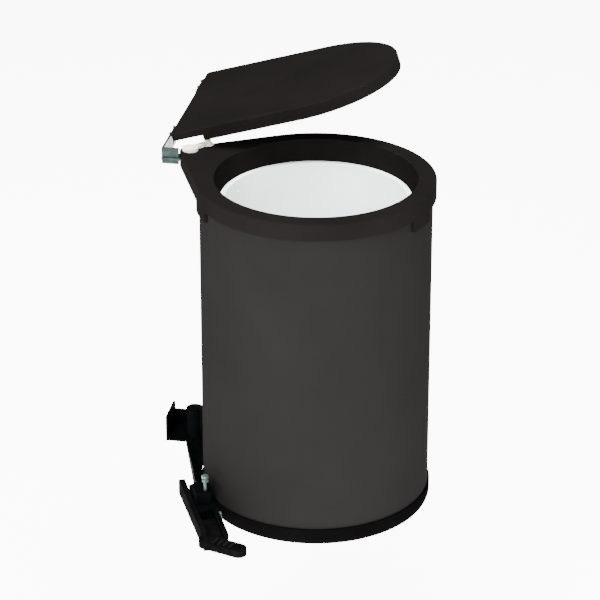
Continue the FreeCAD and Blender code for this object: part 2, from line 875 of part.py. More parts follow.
def make_lower_bracket():
    depth = "lower_back - lower_front"
    low = "shelf_level - bracket_sheet"
    wall = box("0", "lower_front", low, "bracket_sheet", depth, f"lower_high - ({low})")
    shelf = box("0", "lower_front", low, "pivot_from_wall", depth, "bracket_sheet")
    nose = rod("pivot_from_wall", "0", low, "knuckle_radius", "bracket_sheet")
    web = box(
        "0",
        "lower_back - bracket_sheet",
        low,
        "pivot_from_wall - knuckle_radius - 2",
        "bracket_sheet",
        "22",
    )
    chamfer = box("pivot_from_wall - 2", "lower_back - 10", f"{low} - 1", "30", "30", "10")
    whole = cut(
        fuse(wall, shelf, nose, web),
        rod("pivot_from_wall", "0", "0", "pin_radius", "lower_high"),
        wall_hole("lower_screw", "mount_height"),
        chamfer,
    )
    finish("lower_wall_bracket", whole, WALL)
    pin = rod("pivot_from_wall", "0", f"{low} - 2", "pin_radius", f"knuckle_high - 2 - ({low})")
    foot = rod("pivot_from_wall", "0", f"{low} - 4", "pin_radius + 2.5", "4")
    finish("lower_swing_pin", fuse(pin, foot), WALL)


# ----------------------------------------------------------------- pedal group


def world_of(along, across):
    """World x and y of a point of the pedal frame."""
    return (
        f"pedal_x + ({along}) * cos(pedal_yaw) - ({across}) * sin(pedal_yaw)",
        f"pedal_y + ({along}) * sin(pedal_yaw) + ({across}) * cos(pedal_yaw)",
    )


def make_carrier():
    """Arm under the lower bracket, with the block for the pedal bolt and the release rod."""
    low = "shelf_level - bracket_sheet"
    side = "carrier_thick / 2"
    arm = new_body("carrier_arm")
    outline = sketch(
        arm,
        "XZ_Plane",
        [
            ("0", "pedal_up + block_low + 8"),
            ("carrier_length", "pedal_up + block_low"),
            ("carrier_length", "pedal_up + block_high - 6"),
            ("carrier_length * 0.75", "pedal_up + block_high - 6"),
            ("30", low),
            ("0", low),
        ],
        f"-{side}",
    )
    pad(arm, outline, "carrier_thick")
    arm.Placement = FreeCAD.Placement(
        FreeCAD.Vector(), FreeCAD.Rotation(FreeCAD.Vector(0, 0, 1), 1)
    )
    bind(arm, "Placement.Rotation.Angle", "carrier_yaw")
    spot(arm, "carrier_start", "-knuckle_radius + 2", "0")
    tab = box("pivot_from_wall - 8", "lower_front + 1", f"{low} - 3", "16", "16", "3")
    flange = cut(
        box(
            "carrier_start - flange_lead * cos(carrier_yaw)",
            "-knuckle_radius + 2 - flange_lead * sin(carrier_yaw)",
            f"{low} - bracket_sheet",
            "flange_reach",
            "flange_width",
            "bracket_sheet",
            "carrier_yaw",
        ),
        rod(
            "pivot_from_wall + pivot_radius * cos(rest_angle)",
            "pivot_radius * sin(rest_angle)",
            "0",
            "casing_radius + casing_gap",
            "lower_high",
        ),
    )
    corner = world_of("block_back", "block_left")
    block = box(
        corner[0],
        corner[1],
        "pedal_up + block_low",
        "block_front - block_back",
        "block_right - block_left",
        "block_high - block_low",
        "pedal_yaw",
    )
    link = box(
        world_of("block_back - 4", "block_left + 6")[0],
        world_of("block_back - 4", "block_left + 6")[1],
        "pedal_up + block_low + 2",
        "20",
        "10",
        "block_high - block_low - 10",
        "pedal_yaw",
    )
    spot_rod = world_of("rod_back", "rod_side")
    bolt = world_of("bolt_ahead", "block_left - 40")
    bore = doc.addObject("Part::Cylinder", "bore")
    bind(bore, "Radius", "bolt_radius")
    bore.Height = 80
    bore.Placement = FreeCAD.Placement(
        FreeCAD.Vector(),
        FreeCAD.Rotation(FreeCAD.Vector(0, 0, 1), value_of("pedal_yaw"))
        * FreeCAD.Rotation(FreeCAD.Vector(1, 0, 0), -90),
    )
    spot(bore, bolt[0], bolt[1], "pedal_up + bolt_up")
    front_cut = box(
        world_of("block_front - 14", "block_left - 1")[0],
        world_of("block_front - 14", "block_left - 1")[1],
        "pedal_up + bolt_up + 11",
        "30",
        "30",
        "40",
        "pedal_yaw",
    )
    back_cut = box(
        world_of("block_back - 30", "block_left - 1")[0],
        world_of("block_back - 30", "block_left - 1")[1],
        "pedal_up + block_high - 10",
        "46",
        "40",
        "40",
        "pedal_yaw",
    )
    pin_relief = rod(
        "pivot_from_wall", "0", f"{low} - 10", "pin_radius + 3", "10.01"
    )
    whole = cut(
        fuse(arm, tab, flange, block, link),
        bore,
        rod(spot_rod[0], spot_rod[1], "0", "rod_radius + 0.2", "block_high + 20"),
        rod(
            spot_rod[0],
            spot_rod[1],
            "pedal_up + chamber_low",
            "chamber_radius",
            "chamber_high - chamber_low",
        ),
        front_cut,
        back_cut,
        pin_relief,
    )
    finish("pedal_carrier", whole, WALL)


def make_pedal_bolt():
    along = "bolt_ahead"
    left = "block_left - 3"
    head = "block_right + 0.5 + rib_wall + 0.3"
    shank = rod(along, left, "bolt_up", "bolt_radius", f"{head} - ({left})", "y")
    cap = rod(along, head, "bolt_up", "bolt_radius + 1.6", "2.6", "y")
    finish("pedal_bolt", fuse(shank, cap), PEDAL)


def make_lever():
    """Plank, cross web, inner rib and toe of the foot lever."""
    left = "block_left - 0.5 - plank_wall"
    rib = "block_right + 0.5"
    plank = new_body("plank")
    side_view = sketch(
        plank,
        "XZ_Plane",
        [
            ("plank_back", "0"),
            ("plank_front", "toe_low"),
            ("plank_front", "toe_high"),
            ("plank_front - 26", "plank_high - 2"),
            ("plank_back + 4", "plank_high"),
            ("plank_back", "plank_high - 2"),
        ],
        f"-({left}) - plank_wall",
    )
    pad(plank, side_view, "plank_wall")
    inner = box(
        "bolt_ahead - 7",
        rib,
        "2",
        "plank_front - bolt_ahead - 7",
        "rib_wall",
        "rib_high - 2",
    )
    web = box(
        "block_front + 1.5",
        f"{left} + 1",
        "2",
        "plank_front - block_front - 11.5",
        f"{rib} - ({left}) + 2",
        "7",
    )
    tab = box(
        "rod_back - 4",
        f"{left} + 1",
        "0",
        "8",
        f"rod_side + rod_radius + 2 - ({left})",
        "2.8",
    )
    toe_x, toe_y = "plank_front - 12", f"({left}) + plank_wall - 1"
    toe = box(
        f"{toe_x} + toe_half * sin(toe_angle)",
        f"{toe_y} - toe_half * cos(toe_angle)",
        "toe_low",
        "toe_reach",
        "2 * toe_half",
        "toe_high - toe_low",
        "toe_angle",
    )
    root = rod(toe_x, toe_y, "toe_low", "toe_half", "toe_high - toe_low")
    tip = rod(
        f"{toe_x} + toe_reach * cos(toe_angle)",
        f"{toe_y} + toe_reach * sin(toe_angle)",
        "toe_low",
        "toe_half",
        "toe_high - toe_low",
    )
    groove = box(
        "bolt_ahead + 6",
        f"{rib} + 2.5",
        "rib_high - 3",
        "plank_front - 34 - bolt_ahead",
        "rib_wall - 5",
        "4",
    )
    whole = cut(
        fuse(plank, inner, web, tab, root, toe, tip),
        rod("bolt_ahead", f"{left} + 3", "bolt_up", "bolt_radius + 0.06", "60", "y"),
        groove,
    )
    finish("pedal_lever", whole, PEDAL)
    ribs = []
    for step in range(4):
        ribs.append(
            box(
                f"{toe_x} + (10 + {step} * 7) * cos(toe_angle) + (toe_half - 2.5) * sin(toe_angle)",
                f"{toe_y} + (10 + {step} * 7) * sin(toe_angle) - (toe_half - 2.5) * cos(toe_angle)",
                "toe_high",
                "3",
                "2 * toe_half - 5",
                "1.2",
                "toe_angle",
            )
        )
    finish("toe_treads", group(*ribs), PEDAL)


def make_release_rod():
    low = "3"
    rod_body = rod("rod_back", "rod_side", low, "rod_radius", f"rod_high - {low}")
    clip = rod("rod_back", "rod_side", "chamber_low + 1", "spring_radius + spring_wire", "1.2")
    finish("release_rod", fuse(rod_body, clip), PEDAL)
    hole = "rod_high - 2 * nut_height - 3"
    nuts = []
    for level in ("rod_high - 2 * nut_height - 1.5", "rod_high - nut_height - 1"):
        nuts.append(
            cut(
                nut("rod_back", "rod_side", level, "nut_width", "nut_height"),
                rod("rod_back", "rod_side", hole, "rod_radius", "30"),
            )
        )
    finish("rod_nuts", group(*nuts), PEDAL)


def make_spring():
    """Return spring, wound round the release rod inside the block."""
    low = value_of("chamber_low + 1 + 1.2 + spring_wire + 0.1")
    high = value_of("chamber_high - spring_wire - 0.2")
    radius, wire = value_of("spring_radius"), value_of("spring_wire")
    turns = 5
    helix = Part.makeHelix((high - low) / turns, high - low, radius)
    ring = Part.Circle(
        FreeCAD.Vector(radius, 0, 0), FreeCAD.Vector(0, 1, 0), wire
    ).toShape()
    shell = Part.Wire(helix.Edges).makePipeShell([Part.Wire([ring])], True, True)
    item = doc.addObject("Part::Feature", "spring")
    item.Shape = shell
    item.Label = "return_spring"
    along, across = value_of("rod_back"), value_of("rod_side")
    turn = FreeCAD.Rotation(FreeCAD.Vector(0, 0, 1), value_of("pedal_yaw"))
    place = turn.multVec(FreeCAD.Vector(along, across, 0))
    item.Placement = FreeCAD.Placement(
        FreeCAD.Vector(
            value_of("pedal_x") + place.x,
            value_of("pedal_y - lower_screw") + place.y,
            low + value_of("pedal_up - mount_height"),
        ),
        turn,
    )
    NODES["return_spring"] = item


# ------------------------------------------------------------------------ lid


LID_CENTRE = (
    "pivot_from_wall + pivot_radius * cos(closed_angle) - lid_axis_out + lid_lead_out",
    "lid_near + lid_radius",
)


def lid_outline(inset):
    """Plan of the lid: straight at the hinge, round over the bin."""
    centre_x, centre_y = LID_CENTRE
    radius = f"(lid_radius - {inset})"
    near, far = f"{centre_y} - {radius}", f"{centre_y} + {radius}"
    if inset == "0":
        return [
            ("-lid_behind", f"{near} + lid_corner", "lid_corner", True),
            ("-lid_behind + lid_corner", near),
            (centre_x, near, radius, True),
            (f"{centre_x} + {radius}", centre_y, radius, True),
            (centre_x, far),
            ("-lid_behind + lid_corner", far, "lid_corner", True),
            ("-lid_behind", f"{far} - lid_corner"),
        ]
    return [
        ("-lid_behind - 1", near),
        (centre_x, near, radius, True),
        (f"{centre_x} + {radius}", centre_y, radius, True),
        (centre_x, far),
        ("-lid_behind - 1", far),
    ]


def make_lid():
    shell = new_body("shell")
    pad(
        shell,
        sketch(shell, "XY_Plane", lid_outline("0"), "-lid_below"),
        "lid_above + lid_below",
    )
    top = value_of("lid_above")
    round_edges(shell, "lid_edge", lambda e: flat_at(e, top))
    pocket(
        shell,
        sketch(shell, "XY_Plane", lid_outline("lid_wall"), "-lid_below"),
        "lid_above + lid_below - lid_plate",
    )
    underside = "lid_above - lid_plate"
    knuckles = []
    bores = []
    for first in ("near_lug", "far_lug"):
        start = f"{first} + bracket_sheet + free_gap"
        wide = "lug_pitch - bracket_sheet - 2 * free_gap"
        knuckles.append(
            box("-hinge_lug", start, "0", "2 * hinge_lug", wide, f"{underside} + 0.5")
        )
        knuckles.append(rod("0", start, "0", "hinge_lug", wide, "y"))
        bores.append(
            rod("0", f"{first} - 10", "0", "hinge_pin + running_gap", "60", "y")
        )
    notch = box(
        "-lid_behind - 1",
        f"{LID_CENTRE[1]} - lid_radius - 1",
        "-lid_below - 1",
        "lid_notch + lid_behind + 1",
        "lid_wall + 4",
        "lid_below + 2.2",
    )
    whole = cut(fuse(shell, *knuckles), notch, *bores)
    finish("lid_shell", whole, LID)
    ribs = []
    for step in (-1, 0, 1):
        ribs.append(
            box(
                "45",
                f"{LID_CENTRE[1]} + {step} * stiffener_pitch - 1",
                f"{underside} - 5",
                f"lid_radius * {1.45 - 0.25 * abs(step)}",
                "2",
                "5",
            )
        )
    finish("lid_stiffeners", group(*ribs), LID)
    rib = box(
        "follower_out",
        "13",
        "-lid_below + 0.2",
        "follower_thick",
        "20",
        f"{underside} + lid_below - 0.2",
    )
    foot = box("follower_out - 3", "12", f"{underside} - 2", "follower_thick + 6", "23", "2")
    finish("lid_follower", fuse(rib, foot), LID)


make_base()
make_collar()
make_bucket()
make_bail()
make_cam()
make_bushes()
make_casing(make_hinge_arm())
make_upper_bracket()
make_far_bracket()
make_lower_bracket()
make_carrier()
make_pedal_bolt()
make_lever()
make_release_rod()
make_spring()
make_lid()
doc.recompute()

for item in doc.Objects:
    if "Invalid" in item.State or "Error" in item.State:
        raise RuntimeError(f"{item.Name} ({item.Label}) failed: {item.State}")
for node, item in sorted(NODES.items()):
    shape = item.Shape
    if shape.isNull() or not shape.isValid() or not shape.Solids:
        raise RuntimeError(f"{node} has no valid solid")
    shape.exportStep(f"parts/{node}.step")
    print(f"{node}: {len(shape.Solids)} solid(s), {shape.Volume / 1000:.2f} cm3")
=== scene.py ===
# %% [markdown]
# # A swing-out pedal bin for a kitchen cabinet
# The bin hangs from two brackets on a cabinet's side wall, and turns on a vertical axis.
# Its measured frame is loaded first, and nothing in it is moved: the brackets, pins, collar and lid stay
# as they are and get their finishes, while the casing, the bucket, the base and the small fixings are
# made again here with softer edges than a drawing has. Their sizes are read from the frame, so they
# fit wherever the frame puts them.

# %% Load the frame
import json
import math

import bmesh
import bpy
from mathutils import Matrix, Vector


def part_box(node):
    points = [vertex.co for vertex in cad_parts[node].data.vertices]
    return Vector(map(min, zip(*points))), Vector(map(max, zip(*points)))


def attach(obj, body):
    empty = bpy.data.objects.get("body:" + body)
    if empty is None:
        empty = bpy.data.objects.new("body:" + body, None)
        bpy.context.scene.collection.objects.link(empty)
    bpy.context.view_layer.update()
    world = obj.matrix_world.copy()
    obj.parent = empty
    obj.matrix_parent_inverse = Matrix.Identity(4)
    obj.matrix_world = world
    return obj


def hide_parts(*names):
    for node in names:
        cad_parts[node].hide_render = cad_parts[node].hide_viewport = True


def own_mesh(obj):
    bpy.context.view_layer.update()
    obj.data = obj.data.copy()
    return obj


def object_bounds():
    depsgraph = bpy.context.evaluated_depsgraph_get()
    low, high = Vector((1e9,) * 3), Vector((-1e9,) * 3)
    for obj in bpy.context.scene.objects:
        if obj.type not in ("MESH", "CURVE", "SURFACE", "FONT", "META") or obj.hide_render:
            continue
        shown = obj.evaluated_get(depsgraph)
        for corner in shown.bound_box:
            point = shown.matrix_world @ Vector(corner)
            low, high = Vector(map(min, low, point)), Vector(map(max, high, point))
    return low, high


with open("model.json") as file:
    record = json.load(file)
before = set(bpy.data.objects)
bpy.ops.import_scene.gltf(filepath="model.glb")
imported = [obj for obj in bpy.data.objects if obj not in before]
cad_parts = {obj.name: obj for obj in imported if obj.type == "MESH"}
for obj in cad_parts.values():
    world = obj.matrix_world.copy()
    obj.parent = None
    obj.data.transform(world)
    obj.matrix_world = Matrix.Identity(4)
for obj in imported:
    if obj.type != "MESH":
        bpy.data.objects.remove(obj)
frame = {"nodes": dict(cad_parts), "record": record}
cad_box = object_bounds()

MM = 0.001
UP = Vector((0, 0, 1))
nodes = frame["nodes"]
joint_list = frame["record"]["behaviour"]["joints"]
joints = {joint["name"]: joint for joint in joint_list}
print("frame of", len(nodes), "nodes, from", cad_box[0], "to", cad_box[1])

# %% [markdown]
# ## Where the bin stands
# A round bin is easiest to make about its own upright axis, so that axis is worked out once: it is the
# middle of the casing's box. The swing axis comes from the frame's own joint. The direction from one to
# the other tells which side of the bin faces its hinge.

# %% Find the bin's axis and the swing axis
casing_low, casing_high = (Vector(corner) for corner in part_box("outer_casing"))
bin_axis = (casing_low + casing_high) / 2
casing_radius = (casing_high.x - casing_low.x) / 2
swing_axis = Vector(joints["bin_swing"]["pos_m"])
to_hinge = math.atan2(swing_axis.y - bin_axis.y, swing_axis.x - bin_axis.x)
print(f"casing radius {casing_radius / MM:.1f} mm, hinge side at {math.degrees(to_hinge):.1f} degrees")

# %% [markdown]
# ## Building a finish
# No real surface is one flat colour. Each finish here starts from a shader with its fixed values, and is
# then given layers: a mottle, which drifts the colour from one tone to another over a few centimetres, a
# grain, which is the fine relief that spreads a highlight, and scuffs, which change the gloss where hands
# and other things have rubbed. Noise in the object's own space does this without any unwrapping, and it
# has the same scale in metres on every piece.


# %% Start a finish from its fixed values
def new_finish(name, colour, roughness, metallic=0.0, specular=0.5, coat=0.0, ior=1.5):
    """A material whose shader has these fixed values; an ior near 1 leaves no grazing shine."""
    material = bpy.data.materials.new(name)
    material.use_nodes = True
    shader = material.node_tree.nodes["Principled BSDF"]
    shader.inputs["Base Color"].default_value = (*colour, 1)
    shader.inputs["Roughness"].default_value = roughness
    shader.inputs["Metallic"].default_value = metallic
    shader.inputs["Specular IOR Level"].default_value = specular
    shader.inputs["Coat Weight"].default_value = coat
    shader.inputs["IOR"].default_value = ior
    shader.inputs["Coat Roughness"].default_value = 0.25
    return material


# %% Noise in metres, stretched if the surface was drawn or brushed
def noise(material, size, detail=4.0, stretch=(1, 1, 1)):
    """A noise with features about size metres across, longer where the stretch is small."""
    tree = material.node_tree
    place = tree.nodes.new("ShaderNodeTexCoord")
    scale = tree.nodes.new("ShaderNodeMapping")
    scale.inputs["Scale"].default_value = stretch
    texture = tree.nodes.new("ShaderNodeTexNoise")
    texture.inputs["Scale"].default_value = 1 / size
    texture.inputs["Detail"].default_value = detail
    texture.inputs["Roughness"].default_value = 0.55
    tree.links.new(place.outputs["Object"], scale.inputs["Vector"])
    tree.links.new(scale.outputs["Vector"], texture.inputs["Vector"])
    return texture.outputs["Fac"]


# %% Layers that a finish is built up from
def ramp(material, source, low, high, start=0.35, end=0.65):
    """Turns a noise into a blend from the low colour to the high one."""
    tones = material.node_tree.nodes.new("ShaderNodeValToRGB")
    tones.color_ramp.elements[0].position = start
    tones.color_ramp.elements[0].color = (*low, 1)
    tones.color_ramp.elements[1].position = end
    tones.color_ramp.elements[1].color = (*high, 1)
    material.node_tree.links.new(source, tones.inputs["Fac"])
    return tones.outputs["Color"]


def mottle(material, low, high, size, stretch=(1, 1, 1), start=0.35, end=0.65):
    """Drifts the colour from the low tone to the high one, over about size metres."""
    shader = material.node_tree.nodes["Principled BSDF"]
    colour = ramp(material, noise(material, size, 5.0, stretch), low, high, start, end)
    material.node_tree.links.new(colour, shader.inputs["Base Color"])
    return colour


def flecks(material, colour, speck, size, amount):
    """Lays small bright specks over the colour, as metal flake in a paint or dust on plastic."""
    tree = material.node_tree
    shader = tree.nodes["Principled BSDF"]
    cells = tree.nodes.new("ShaderNodeTexVoronoi")
    cells.inputs["Scale"].default_value = 1 / size
    place = tree.nodes.new("ShaderNodeTexCoord")
    tree.links.new(place.outputs["Object"], cells.inputs["Vector"])
    pick = tree.nodes.new("ShaderNodeValToRGB")
    pick.color_ramp.elements[0].position = 1 - amount
    pick.color_ramp.elements[1].position = 1 - amount / 4
    tree.links.new(cells.outputs["Color"], pick.inputs["Fac"])
    mix = tree.nodes.new("ShaderNodeMix")
    mix.data_type = "RGBA"
    mix.inputs["B"].default_value = (*speck, 1)
    tree.links.new(pick.outputs["Color"], mix.inputs["Factor"])
    tree.links.new(colour, mix.inputs["A"])
    tree.links.new(mix.outputs["Result"], shader.inputs["Base Color"])


def scuffs(material, low, high, size, stretch=(1, 1, 1)):
    """Roughness that drifts between two values."""
    tree = material.node_tree
    shader = tree.nodes["Principled BSDF"]
    spread = tree.nodes.new("ShaderNodeMapRange")
    spread.inputs["From Min"].default_value = 0.3
    spread.inputs["From Max"].default_value = 0.7
    spread.inputs["To Min"].default_value = low
    spread.inputs["To Max"].default_value = high
    tree.links.new(noise(material, size, 6.0, stretch), spread.inputs["Value"])
    tree.links.new(spread.outputs["Result"], shader.inputs["Roughness"])


def grain(material, size, height, strength=0.5, stretch=(1, 1, 1)):
    """Fine relief of that size and height, in metres."""
    tree = material.node_tree
    shader = tree.nodes["Principled BSDF"]
    bump = tree.nodes.new("ShaderNodeBump")
    bump.inputs["Strength"].default_value = strength
    bump.inputs["Distance"].default_value = height
    tree.links.new(noise(material, size, 3.0, stretch), bump.inputs["Height"])
    tree.links.new(bump.outputs["Normal"], shader.inputs["Normal"])


# %% [markdown]
# ## The coated steel of the casing
# The casing is sheet steel with a charcoal coat that has metal flake in it. The coat is nearly matt, so its
# shading is soft and has no bright rim. The flakes are a third of a millimetre, and a faint orange peel
# from the spray gun keeps the wall from looking like paper.

# %% Charcoal coat
charcoal = new_finish("charcoal_coat", (0.0074, 0.0071, 0.0069), 0.48, specular=0.015, ior=1.01)
charcoal_tone = mottle(
    charcoal, (0.0066, 0.0063, 0.0062), (0.0082, 0.0079, 0.0077), 0.10, start=0.2, end=0.8
)
flecks(charcoal, charcoal_tone, (0.018, 0.0175, 0.017), 0.35 * MM, 0.10)
scuffs(charcoal, 0.40, 0.50, 0.03)
grain(charcoal, 0.9 * MM, 0.02 * MM, 0.35)
print("finish", charcoal.name)

# %% [markdown]
# ## Moulded black plastic
# The collar, lid, base and pedal are black polypropylene. Its tool was spark-eroded, which leaves a fine
# matt grain a fraction of a millimetre across, and handling polishes the grain in patches. The collar and
# lid are a warm soft black, and the base and the pedal are deeper.

# %% Black plastic of the collar and lid, and of the base
DUST = (0.014, 0.0135, 0.013)
black_plastic = new_finish(
    "black_plastic", (0.0045, 0.0041, 0.0039), 0.5, specular=0.03, ior=1.01
)
black_tone = mottle(
    black_plastic, (0.0038, 0.0034, 0.0033), (0.0052, 0.0047, 0.0045), 0.08, start=0.2, end=0.8
)
flecks(black_plastic, black_tone, DUST, 0.6 * MM, 0.02)
base_plastic = new_finish(
    "base_plastic", (0.0013, 0.0012, 0.0012), 0.5, specular=0.03, ior=1.01
)
base_tone = mottle(
    base_plastic, (0.0010, 0.0009, 0.0009), (0.0016, 0.0015, 0.0015), 0.08, start=0.2, end=0.8
)
flecks(base_plastic, base_tone, (0.010, 0.0095, 0.009), 0.6 * MM, 0.02)
for finish in (black_plastic, base_plastic):
    scuffs(finish, 0.42, 0.60, 0.02)
    grain(finish, 0.45 * MM, 0.05 * MM, 0.6)
    print("finish", finish.name)

# %% Black plastic of the pedal
pedal_plastic = new_finish("pedal_plastic", (0.002, 0.002, 0.002), 0.55, specular=0.05, ior=1.02)
pedal_tone = mottle(pedal_plastic, (0.0014, 0.0014, 0.0014), (0.0026, 0.0026, 0.0026), 0.012)
flecks(pedal_plastic, pedal_tone, DUST, 0.5 * MM, 0.03)
scuffs(pedal_plastic, 0.45, 0.70, 0.008)
grain(pedal_plastic, 0.5 * MM, 0.07 * MM, 0.7)
print("finish", pedal_plastic.name)

# %% [markdown]
# ## Powder coat, zinc and nylon
# The lower bracket, its arms and its pin are powder-coated, which dries with a slight orange peel. The
# fixings are zinc-plated: a cool grey that is cloudy rather than even, with a fine drawn grain. The upper
# brackets have the same plating in a darker copy of its colour, which is painted shade. The collar's bushes
# and the lid's lifting finger are white nylon, waxy and a little yellow, and the lower knuckle's bush is
# black like the collar. The bucket and its bail are white.

# %% Powder coat and zinc
powder_coat = new_finish("powder_coat", (0.0010, 0.0013, 0.0013), 0.42, specular=0.05, ior=1.02)
powder_tone = mottle(powder_coat, (0.0008, 0.0011, 0.0011), (0.0014, 0.0018, 0.0018), 0.015)
flecks(powder_coat, powder_tone, (0.010, 0.010, 0.010), 0.8 * MM, 0.03)
scuffs(powder_coat, 0.32, 0.50, 0.01)
grain(powder_coat, 1.2 * MM, 0.04 * MM, 0.5)

print("finish", powder_coat.name)

zinc = new_finish("zinc_plate", (0.045, 0.062, 0.059), 0.36, metallic=0.4, specular=0.3, ior=1.15)
mottle(zinc, (0.030, 0.045, 0.043), (0.065, 0.088, 0.084), 0.006)
# Painted shade: the upper brackets' plating is this darker copy of the zinc colour, with the same gloss and
# grain.
zinc_painted_shade = new_finish(
    "zinc_painted_shade", (0.015, 0.022, 0.021), 0.36, metallic=0.4, specular=0.3, ior=1.15
)
mottle(zinc_painted_shade, (0.010, 0.015, 0.0145), (0.022, 0.031, 0.030), 0.006)
for finish in (zinc, zinc_painted_shade):
    scuffs(finish, 0.26, 0.46, 0.004, (1, 1, 0.15))
    grain(finish, 0.5 * MM, 0.02 * MM, 0.4, (1, 1, 0.1))
    print("finish", finish.name)

# %% Nylon, bucket plastic and rubber
nylon = new_finish("white_nylon", (0.60, 0.60, 0.48), 0.45)
mottle(nylon, (0.54, 0.55, 0.42), (0.66, 0.65, 0.54), 0.01)
scuffs(nylon, 0.38, 0.55, 0.006)
grain(nylon, 0.8 * MM, 0.03 * MM, 0.3)
nylon_shader = nylon.node_tree.nodes["Principled BSDF"]
nylon_shader.inputs["Subsurface Weight"].default_value = 0.1
nylon_shader.inputs["Subsurface Scale"].default_value = 2 * MM

bucket_white = new_finish("bucket_white", (0.86, 0.90, 0.90), 0.28, coat=0.2)
mottle(bucket_white, (0.84, 0.885, 0.885), (0.90, 0.93, 0.93), 0.05)
scuffs(bucket_white, 0.24, 0.40, 0.03, (1, 1, 0.3))
grain(bucket_white, 3 * MM, 0.03 * MM, 0.2, (1, 1, 0.2))

rubber = new_finish("toe_rubber", (0.004, 0.004, 0.004), 0.75, specular=0.1, ior=1.05)
mottle(rubber, (0.003, 0.003, 0.003), (0.006, 0.006, 0.0057), 0.004)
scuffs(rubber, 0.65, 0.85, 0.003)
grain(rubber, 0.4 * MM, 0.05 * MM, 0.6)
for finish in (nylon, bucket_white, rubber):
    print("finish", finish.name)

# %% [markdown]
# ## Finishes on the measured parts
# Most of the frame's own parts are already the right shape. They only need the right finish, and a
# small bevel where the real piece has a moulded or broken edge, because a dead-sharp edge catches no
# light. The bevel is a modifier, so the measured mesh under it isn't changed.

# %% Give each measured part its finish
PART_FINISHES = {
    black_plastic: ["collar", "lid_shell", "lid_stiffeners", "knuckle_bush"],
    base_plastic: ["base_cup"],
    pedal_plastic: ["pedal_lever"],
    rubber: ["toe_treads"],
    powder_coat: ["lower_wall_bracket", "lower_hinge_arm", "lower_swing_pin", "pedal_carrier"],
    zinc: [
        "upper_swing_pin", "near_hinge_pin", "far_hinge_pin", "backing_plate", "saddle_rivets",
        "release_rod", "rod_nuts", "return_spring", "pedal_bolt",
    ],
    # The upper brackets take the darker copy of the zinc, which is painted shade.
    zinc_painted_shade: ["upper_wall_bracket", "far_hinge_bracket"],
    nylon: ["lid_cam", "lid_follower", "ear_bushes"],
    charcoal: ["outer_casing"],
    bucket_white: ["inner_bucket", "bucket_bail"],
}


def cover(piece, material):
    """The piece gets this finish all over."""
    piece.data.materials.clear()
    piece.data.materials.append(material)


for material, names in PART_FINISHES.items():
    for name in names:
        cover(nodes[name], material)
print("finishes given to", sum(len(names) for names in PART_FINISHES.values()), "parts")

# %% Break the sharp edges
BROKEN_EDGES = {
    "collar": 0.5 * MM,
    "lid_shell": 0.5 * MM,
    "pedal_lever": 0.6 * MM,
    "pedal_carrier": 0.5 * MM,
    "lower_wall_bracket": 0.4 * MM,
    "lower_hinge_arm": 0.5 * MM,
    "upper_wall_bracket": 0.4 * MM,
    "far_hinge_bracket": 0.4 * MM,
    "lid_cam": 0.5 * MM,
    "lid_follower": 0.5 * MM,
    "toe_treads": 0.3 * MM,
}


def soften(piece, width, steps=2):
    """Rounds every edge sharper than 40 degrees by width."""
    bevel = piece.modifiers.new("soft_edge", "BEVEL")
    bevel.width = width
    bevel.segments = steps
    bevel.limit_method = "ANGLE"
    bevel.angle_limit = math.radians(40)
    bevel.use_clamp_overlap = True
    bevel.harden_normals = True


for name, width in BROKEN_EDGES.items():
    soften(nodes[name], width)
print("edges broken on", len(BROKEN_EDGES), "parts")

# %% [markdown]
# ## Round work
# Casing, bucket and base are all turned shapes. A lathe takes a half-section, a closed run of radius and
# height pairs, and sweeps it once round an upright axis. Smooth shading with a limit on the angle
# keeps the walls smooth and the rims crisp.

# %% A lathe
TURN_STEPS = 256


def lathe(name, section, centre, steps=TURN_STEPS):
    """A solid of revolution about the upright line through centre, from a closed half-section."""
    mesh = bmesh.new()
    rings = []
    for radius, height in section:
        ring = []
        for step in range(steps):
            angle = 2 * math.pi * step / steps
            ring.append(mesh.verts.new((
                centre.x + radius * math.cos(angle),
                centre.y + radius * math.sin(angle),
                height,
            )))
        rings.append(ring)
    for ring, following in zip(rings, rings[1:] + rings[:1]):
        for step in range(steps):
            after = (step + 1) % steps
            mesh.faces.new((ring[step], ring[after], following[after], following[step]))
    bmesh.ops.recalc_face_normals(mesh, faces=mesh.faces)
    return as_piece(name, mesh)


def as_piece(name, mesh, smooth_angle=35):
    """The mesh as an object, shaded smooth below the angle."""
    data = bpy.data.meshes.new(name)
    mesh.to_mesh(data)
    mesh.free()
    for face in data.polygons:
        face.use_smooth = True
    data.set_sharp_from_angle(angle=math.radians(smooth_angle))
    piece = bpy.data.objects.new(name, data)
    bpy.context.scene.collection.objects.link(piece)
    return piece


def arc(centre, radius, start, end, steps=6):
    """Points of a round corner in a half-section, between two angles in degrees."""
    points = []
    for step in range(steps + 1):
        angle = math.radians(start + (end - start) * step / steps)
        points.append((centre[0] + radius * math.cos(angle), centre[1] + radius * math.sin(angle)))
    return points


# %% [markdown]
# ## The casing
# A casing like this is rolled from one sheet, welded down the back and beaded at both ends for
# stiffness. The beads sit under the collar and in the base cup, so only the plain wall shows. It is made as
# a thin closed section with a small rolled bead at the top, and stands for the measured tube.

# %% Roll the casing
wall = 1.0 * MM
bead = 0.45 * MM
casing_section = [
    (casing_radius, casing_low.z),
    (casing_radius, casing_high.z - bead),
    *arc((casing_radius - bead, casing_high.z - bead), bead, 0, 90, 4)[1:],
    *arc((casing_radius - wall + bead, casing_high.z - bead), bead, 90, 180, 4),
    (casing_radius - wall, casing_low.z),
]
casing = lathe("casing_wall", casing_section, bin_axis)
cover(casing, charcoal)
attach(casing, "bin")
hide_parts("outer_casing")
print(f"casing wall {(casing_high.z - casing_low.z) / MM:.0f} mm high")

# %% [markdown]
# ## The weld
# The weld is a narrow flattened bead down the casing, a quarter turn round from its hinge side. A strip a
# fifth of a millimetre proud, bent to the casing and tapered at both edges, is all it takes.


